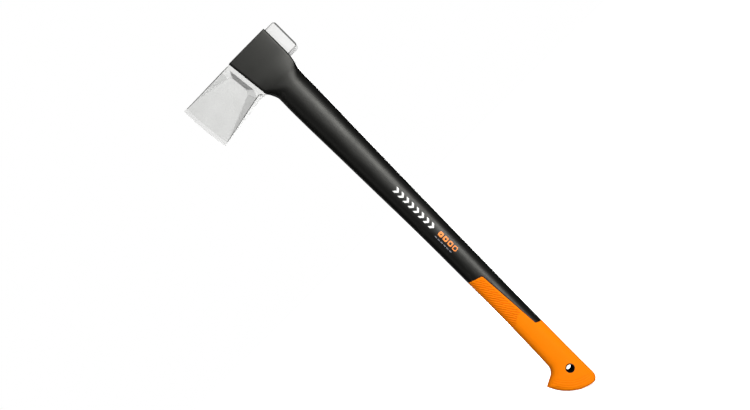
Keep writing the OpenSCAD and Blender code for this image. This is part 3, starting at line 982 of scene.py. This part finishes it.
class Shader(Nodes):
    """A material."""

    def __init__(self, name):
        self.material = bpy.data.materials.new(name)
        self.material.use_nodes = True
        super().__init__(self.material.node_tree)
        self.surface = self.tree.nodes["Principled BSDF"]
        self.place = self.add("ShaderNodeTexCoord", output="Object")
        self.normal = self.add("ShaderNodeNewGeometry", output="Normal")

    def noise(self, size, detail=3.0, rough=0.5, where=None):
        """Noise whose features are about size millimetres across."""
        inputs = {"Vector": where or self.place, "Scale": 1 / (size * MM)}
        return self.add("ShaderNodeTexNoise", inputs | {"Detail": detail, "Roughness": rough})

    def stretched(self, x, y, z, turn=0.0):
        """The place, turned about Y and scaled along each axis."""
        inputs = {"Vector": self.place, "Center": HEEL_M, "Axis": (0, 1, 0), "Angle": turn}
        return self.vector("MULTIPLY", self.add("ShaderNodeVectorRotate", inputs), (x, y, z))

    def corner(self, low, high):
        """0 to 1 as the surface goes from low to high pointiness, which is 0.5 where it's flat."""
        return self.spread(self.add("ShaderNodeNewGeometry", output="Pointiness"), low, high)

    def along(self, way):
        """Distance from the heel of the cutting edge along a direction (x, z), in millimetres."""
        offset = self.vector("SUBTRACT", self.place, HEEL_M)
        return self.vector("DOT_PRODUCT", offset, (way[0] / MM, 0, way[1] / MM), "Value")

    def facing(self, directions):
        """1 where the outside faces one of the directions, or its mirror image in Y = 0."""
        x, y, z = (self.axis(k, self.normal) for k in range(3))
        folded = self.add("ShaderNodeCombineXYZ", {0: x, 1: self.math("ABSOLUTE", y, 0.0), 2: z})
        near = [self.vector("DOT_PRODUCT", folded, tuple(way), "Value") for way in directions]
        return self.larger(0.0, *[self.spread(value, 0.985, 0.993) for value in near])

    def bump(self, height, depth):
        """Normal from a height between 0 and 1 that stands for depth millimetres."""
        return self.add("ShaderNodeBump", {"Height": height, "Distance": depth * MM})

    def finish(self, **values):
        names = {"color": "Base Color", "rough": "Roughness", "metal": "Metallic", "normal": "Normal"}
        names |= {"spec": "Specular IOR Level", "tint": "Specular Tint"}
        for key, value in values.items():
            self.plug(self.surface.inputs[names[key]], value)
        return self.material


def steel_material():
    """Coated steel, ground at the edge, with painted shade along its outline, flanks, end wall and poll
    face, and painted light on its underside and corner facets.
    """
    m = Shader("forged_steel")
    s, t = m.along(ALONG_S), m.along(ALONG_T)
    x = m.axis(0, m.place)
    side = m.math("ABSOLUTE", m.axis(1, m.normal), 0.0)
    # The top and bottom faces, the flanks, are painted darker as painted shade
    flank = m.spread(side, 0.3, 0.15)
    off_mid = m.math("SUBTRACT", t, EDGE_MID)
    bow = m.math("DIVIDE", m.times(off_mid, off_mid), 2 * EDGE_R)
    behind = m.math("SUBTRACT", m.plus(s, EDGE_BOW), bow)
    ground = m.spread(behind, BEVEL_W + 0.15, BEVEL_W - 0.15)
    band = m.spread(s, RIM_S - 0.3, RIM_S + 0.5)
    poll = m.spread(x, (WRAP_BACK - 1) * MM, WRAP_BACK * MM)

    # Painted shade: a dark line along the rounded outline and round the poll's bevelled edges
    rise = m.spread(s, 0, FOOT_KNEES[0], FOOT_START, FOOT_RISE)
    foot = m.math("MINIMUM", rise, m.spread(s, *FOOT_KNEES, FOOT_RISE, FOOT_END))
    above = m.math("SUBTRACT", m.spread(s, 0, BLADE_LEN, EDGE_LEN, EDGE_LEN - TOP_DROP), t)
    rim = m.spread(m.math("MINIMUM", above, m.math("SUBTRACT", t, foot)), 1.7, 1.1)
    rim = m.times(rim, m.times(m.spread(behind, 5.5, 9.0), m.spread(s, 100.0, 98.5)))
    poll_back = m.spread(x, (POLL_BACK - 3.2) * MM, (POLL_BACK - 2.4) * MM)
    poll_rim = m.larger(m.spread(side, 0.997, 0.97, 0.0, 0.5), poll_back)
    rim = m.times(m.larger(rim, m.times(poll, poll_rim)), m.math("SUBTRACT", 1.0, flank))

    lines = m.noise(0.35, 4.0, 0.6, m.stretched(0.05, 0.3, 1.0, EDGE_LEAN))
    cloud = m.noise(26.0, 4.0, 0.55)
    grain = m.noise(0.45, 2.0, 0.6)
    scratch = m.spread(m.noise(1.3, 2.0, 0.7, m.stretched(0.03, 0.4, 1.0, EDGE_LEAN + 0.35)), 0.69, 0.74)
    # Painted light: the slanted corner facets at the ends of the hollow's end wall are painted nearly white
    corners = m.facing([plane_normal(corner) for corner in CORNERS])
    # Painted shade: the hollow's end wall is painted darker
    end_wall = m.facing([plane_normal(lambda s, t: s * (band_y(RIM_S) - CHEEK_HALF) / RAMP_W)])
    # Painted light: flanks that face down are painted nearly white
    below = m.times(flank, m.spread(m.axis(2, m.normal), -0.5, -0.8))
    # Painted shade: the poll's back face is painted darker, to hold down the light that it catches
    poll_face_shade = m.times(poll, m.spread(m.axis(0, m.normal), 0.6, 0.95))
    # The painted shade along the outline, patchy and fainter towards the cutting edge
    outline_shade = m.times(m.times(rim, m.spread(s, 20, 70, 0.82, 1.0)), m.spread(cloud, 0.35, 0.5, 0.75, 1.0))

    colour = m.mix(cloud, (0.595, 0.598, 0.588), (0.635, 0.638, 0.628))
    # Tones laid over the base colour; those for the corner facets, end wall, flanks, underside, poll face
    # and outline are painted light or shade
    for share, tone in (
        (m.times(scratch, 0.35), (0.78, 0.78, 0.77)),
        (ground, m.mix(lines, (0.765, 0.765, 0.76), (0.78, 0.78, 0.772))),
        (band, m.mix(lines, (0.57, 0.57, 0.565), (0.63, 0.63, 0.62))),
        (poll, m.mix(lines, (0.56, 0.56, 0.555), (0.61, 0.61, 0.60))),
        (corners, (0.93, 0.93, 0.92)),
        (end_wall, (0.47, 0.47, 0.465)),
        (flank, m.mix(lines, (0.46, 0.46, 0.455), (0.54, 0.54, 0.53))),
        (below, m.mix(cloud, (0.90, 0.90, 0.89), (0.94, 0.94, 0.93))),
        (poll_face_shade, m.mix(lines, (0.26, 0.26, 0.257), (0.36, 0.36, 0.355))),
        (outline_shade, (0.12, 0.12, 0.117)),
    ):
        colour = m.mix(share, colour, tone)
    rough = m.plus(m.vary(grain, 0.42, 0.50), m.vary(cloud, -0.03, 0.03))
    rough = m.math("SUBTRACT", rough, m.times(m.larger(ground, band), 0.06))
    rough = m.plus(rough, m.times(poll, 0.24))
    relief = m.plus(m.times(lines, m.larger(band, m.times(ground, 0.3))), m.times(grain, 0.6))
    relief = m.times(relief, m.spread(flank, 0.0, 1.0, 1.0, 0.1))
    return m.finish(color=colour, rough=rough, metal=0.2, normal=m.bump(relief, 0.02))


def composite_material():
    """Finely textured black moulding with pale scuffs and no shine inside the hang hole."""
    m = Shader("black_composite")
    grain = m.noise(0.55, 2.0, 0.6)
    cells = {"Vector": m.place, "Scale": 1 / (0.9 * MM)}
    pebble = m.add("ShaderNodeTexVoronoi", cells, feature="SMOOTH_F1")
    cloud = m.noise(40.0, 4.0, 0.6)
    scuff = m.noise(3.0, 4.0, 0.7, m.stretched(1.0, 1.0, 0.12))
    scuff = m.times(m.spread(scuff, 0.62, 0.75), m.spread(cloud, 0.5, 0.62))
    colour = m.mix(cloud, (0.0030, 0.0030, 0.0028), (0.0048, 0.0048, 0.0045))
    colour = m.mix(m.times(scuff, 0.35), colour, (0.06, 0.06, 0.056))
    colour = m.mix(m.times(m.corner(0.54, 0.64), 0.4), colour, (0.05, 0.05, 0.047))
    rough = m.plus(m.vary(cloud, 0.36, 0.42), m.times(scuff, 0.15))
    rough = m.plus(rough, m.vary(grain, -0.03, 0.03))
    relief = m.plus(m.times(pebble, 0.6), m.times(grain, 0.6))
    away = m.vector("LENGTH", m.vector("MULTIPLY", m.place, (1, 0, 1)), output="Value")
    shine = m.spread(away, (BOSS_R - 0.5) * MM, BOSS_R * MM, 0.0, 0.33)
    return m.finish(color=colour, rough=rough, normal=m.bump(relief, 0.03), spec=shine, tint=(1, 1, 0.94))


def rubber_material():
    """Soft orange moulding, with painted shade in its grooves, and a little dusty."""
    m = Shader("orange_rubber")
    grain = m.noise(0.4, 2.0, 0.6)
    cloud = m.noise(22.0, 4.0, 0.6)
    fine = m.noise(2.5, 3.0, 0.6)
    dust = m.times(m.spread(fine, 0.6, 0.78), m.spread(cloud, 0.45, 0.65))
    colour = m.mix(cloud, (0.85, 0.192, 0.0010), (0.90, 0.216, 0.0018))
    # Painted shade: concave places, such as the grooves between the ribs, are painted darker
    colour = m.mix(m.times(m.corner(0.5, 0.455), 0.8), colour, (0.62, 0.075, 0.001))
    colour = m.mix(m.times(dust, 0.12), colour, (0.9, 0.45, 0.2))
    rough = m.plus(m.vary(cloud, 0.50, 0.60), m.times(dust, 0.1))
    relief = m.plus(m.times(grain, 0.7), m.times(fine, 0.3))
    return m.finish(color=colour, rough=rough, normal=m.bump(relief, 0.03), spec=0.03)


def plug_material():
    m = Shader("plug_plastic")
    grain = m.noise(0.5, 2.0, 0.6)
    colour = m.mix(m.noise(3.0), (0.016, 0.016, 0.016), (0.03, 0.03, 0.03))
    return m.finish(color=colour, rough=m.vary(grain, 0.4, 0.55), normal=m.bump(grain, 0.03))


def print_material(name, colour, worn_colour):
    """Printed ink, a little uneven and rubbed."""
    m = Shader(name)
    patch = m.spread(m.noise(1.2, 4.0, 0.7), 0.62, 0.8)
    grain = m.noise(0.3, 2.0, 0.6)
    ink = m.mix(m.times(patch, 0.5), colour, worn_colour)
    return m.finish(color=ink, rough=m.vary(grain, 0.4, 0.55), normal=m.bump(grain, 0.01))


# ---- floor, light and camera


def floor_material():
    """Pale floor that glows a little, so that it's even."""
    m = Shader("pale_floor")
    cloud = m.noise(300.0, 3.0, 0.5)
    tone = m.mix(cloud, (0.93, 0.93, 0.93), (0.95, 0.95, 0.95))
    m.plug(m.surface.inputs["Emission Color"], tone)
    m.plug(m.surface.inputs["Emission Strength"], 0.85)
    return m.finish(color=tone, rough=m.vary(cloud, 0.85, 0.95), spec=0.0)


def build_floor(level):
    """Wide plain floor, cut into a fan of rings."""
    rings = 0, 400, 1500, 30000
    loops = level_loops([(r, level) for r in rings], 97)
    floor = make_mesh("studio_floor", loops, grid_faces(len(rings), 97))
    floor.data.materials.append(floor_material())
    if floor.data.polygons[0].normal.z < 0:
        floor.data.flip_normals()
    floor.visible_glossy = False
    floor.visible_diffuse = False


def softbox(name, place_mm, aim_mm, width, height, power):
    """Rectangular light that faces a point."""
    light = bpy.data.lights.new(name, "AREA")
    light.shape = "RECTANGLE"
    light.size, light.size_y = width * MM, height * MM
    light.energy = power
    obj = bpy.data.objects.new(name, light)
    bpy.context.scene.collection.objects.link(obj)
    spot, aim = Vector(place_mm) * MM, Vector(aim_mm) * MM
    back = (spot - aim).normalized()
    across = Vector((0, 0, 1)).cross(back).normalized()
    turn = Matrix([across, back.cross(across), back]).transposed()
    obj.matrix_world = Matrix.Translation(spot) @ turn.to_4x4()
    return obj


def build_lights(head):
    """Tall soft boxes in front and behind, the same on both sides, and a light below the head.

    The ones behind leave the head out. A twin of the brighter one lights it without a reflection, so that
    the far cheek stays darker than the background.
    """
    head_only = bpy.data.collections.new("head_only")
    head_only.objects.link(head)
    all_but_head = bpy.data.collections.new("all_but_head")
    all_but_head.objects.link(head)
    all_but_head.collection_objects[0].light_linking.link_state = "EXCLUDE"
    under = softbox("head_underlight", (-70, 1, HEAD_TOP - 420), (-60, 0, HEAD_TOP - 60), 260, 200, 1.3)
    under.visible_camera = False
    for_head = [under]
    mid, box_height = (10.0, 0.0, 367.0), 2000
    for side, name in ((-1, "front"), (1, "back")):
        for part, turn, away, width, power in (("key", 20, 2000, 560, 62), ("fill", -47, 2200, 500, 2.5)):
            a = math.radians(turn)
            spot = (mid[0] + away * math.sin(a), side * away * math.cos(a), mid[2] + 60)
            light = softbox(f"{name}_{part}", spot, mid, width, box_height, power)
            if name == "back":
                light.light_linking.receiver_collection = all_but_head
                if part == "key":
                    for_head.append(softbox("back_key_on_head", spot, mid, width, box_height, power))
    for light in for_head:
        light.light_linking.receiver_collection = head_only
        light.visible_glossy = False


def build_world():
    """White to the camera, nearly black in reflections, and brighter from behind the poll."""
    world = bpy.data.worlds.new("studio")
    bpy.context.scene.world = world
    world.use_nodes = True
    world.node_tree.nodes.clear()
    nodes = Nodes(world.node_tree)

    def background(tone, strength):
        return nodes.add("ShaderNodeBackground", {"Color": tone, "Strength": strength})

    def choose(ray, no, yes):
        share = nodes.add("ShaderNodeLightPath", output=ray)
        return nodes.add("ShaderNodeMixShader", {0: share, 1: no, 2: yes})

    toward_poll = nodes.axis(0, nodes.add("ShaderNodeTexCoord", output="Generated"))
    plain = background((1, 1, 1), nodes.spread(toward_poll, -1.0, 1.0, 0.14, 0.58))
    shown = choose("Is Glossy Ray", plain, background((1, 1, 0.97), 0.015))
    shown = choose("Is Camera Ray", shown, background((1, 1, 1), 1.0))
    nodes.add("ShaderNodeOutputWorld", {"Surface": shown}, output=None)


def build_camera():
    """Level camera that looks along +Y and is rolled so that the handle runs down to the right."""
    roll, away, view_width = math.radians(45), 2000.0, 1207.5
    camera = bpy.data.cameras.new("camera")
    camera.sensor_width = 36.0
    camera.lens = camera.sensor_width * away / view_width
    camera.clip_end = 100.0
    obj = bpy.data.objects.new("camera", camera)
    bpy.context.scene.collection.objects.link(obj)
    right = Vector((math.cos(roll), 0, -math.sin(roll)))
    up = Vector((math.sin(roll), 0, math.cos(roll)))
    turn = Matrix([right, up, right.cross(up)]).transposed()
    middle = Vector((-36.1, -away, 404.7)) * MM
    obj.matrix_world = Matrix.Translation(middle) @ turn.to_4x4()
    bpy.context.scene.camera = obj


# ---- putting it together

OUTER, INNER = draw(1.5, 0.62), draw(3.2, None)

PIECES = [
    (build_handle(OUTER, INNER), composite_material(), "handle_composite", "handle"),
    (build_grip(OUTER, INNER), rubber_material(), "soft_grip", "grip"),
    (build_head(), steel_material(), "head_steel", "axe_head"),
    (build_plug(), plug_material(), "plug_plastic", "channel_plug"),
]
INKS = [
    ("white_ink", (0.86, 0.86, 0.84), (0.5, 0.5, 0.48)),
    ("orange_ink", (0.95, 0.26, 0.02), (0.6, 0.15, 0.02)),
    ("grey_ink", (0.22, 0.22, 0.25), (0.1, 0.1, 0.1)),
]
for mark, ink in zip(build_marks(), INKS):
    PIECES.append((mark, print_material(*ink), "handle_composite", None))

for piece, finish, slot, node in PIECES:
    piece.data.materials.clear()
    piece.data.materials.append(finish)
    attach(piece, "root")
    if node:
        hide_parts(node)

build_floor(CAD_BOX[0][2] / MM - 0.3)
build_lights(bpy.data.objects["steel_head"])
build_world()
build_camera()
bpy.context.scene.view_settings.view_transform = "Standard"
